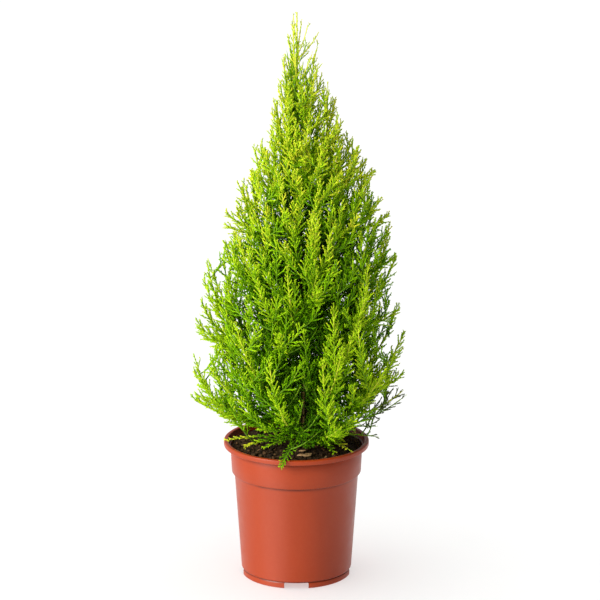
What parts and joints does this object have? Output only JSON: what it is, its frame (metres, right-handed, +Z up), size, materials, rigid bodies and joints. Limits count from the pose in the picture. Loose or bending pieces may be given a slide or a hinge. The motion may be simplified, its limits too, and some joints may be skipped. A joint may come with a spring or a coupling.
{
  "type": "potted monterey cypress",
  "caption": "Narrow conical potted conifer: bright lime-green feathery plumes round one leader, standing in a round tapered terracotta-coloured plastic nursery pot of dark soil.",
  "frame": {"origin": "on the pot's axis, in the plane of the foot that the pot stands on", "axes": "+Z up along the pot's axis; -Y is the side seen from the front, +X to the viewer's right"},
  "size_m": [0.2809, 0.2722, 0.7485],
  "materials": {
    "pot_plastic": "satin",
    "soil": "matte",
    "bark": "matte",
    "foliage": "matte"
  },
  "bodies": {
    "root": {"pot": "pot_plastic", "soil": "soil", "trunk": "bark", "bough_01": "bark", "bough_02": "bark", "bough_03": "bark", "bough_04": "bark", "bough_05": "bark", "bough_06": "bark", "bough_07": "bark", "bough_08": "bark", "bough_09": "bark", "bough_10": "bark", "bough_11": "bark", "foliage_01": "foliage", "foliage_02": "foliage", "foliage_03": "foliage", "foliage_04": "foliage", "foliage_05": "foliage", "foliage_06": "foliage", "foliage_07": "foliage", "foliage_08": "foliage", "foliage_09": "foliage", "foliage_10": "foliage", "foliage_11": "foliage", "foliage_12": "foliage", "foliage_13": "foliage", "foliage_14": "foliage", "foliage_15": "foliage", "foliage_16": "foliage", "foliage_17": "foliage", "foliage_18": "foliage", "foliage_19": "foliage", "foliage_20": "foliage", "foliage_21": "foliage", "foliage_22": "foliage", "foliage_23": "foliage", "foliage_24": "foliage", "foliage_25": "foliage", "foliage_26": "foliage", "foliage_27": "foliage", "foliage_28": "foliage", "foliage_29": "foliage", "foliage_30": "foliage", "foliage_31": "foliage", "foliage_32": "foliage", "foliage_33": "foliage", "foliage_34": "foliage", "foliage_35": "foliage", "foliage_36": "foliage", "foliage_37": "foliage", "foliage_38": "foliage", "foliage_39": "foliage", "foliage_40": "foliage", "foliage_spray_left": "foliage", "foliage_spray_front_left": "foliage", "foliage_spray_front": "foliage", "foliage_spray_front_right": "foliage", "foliage_spray_right": "foliage", "foliage_spray_far_right": "foliage"}
  },
  "joints": []
}
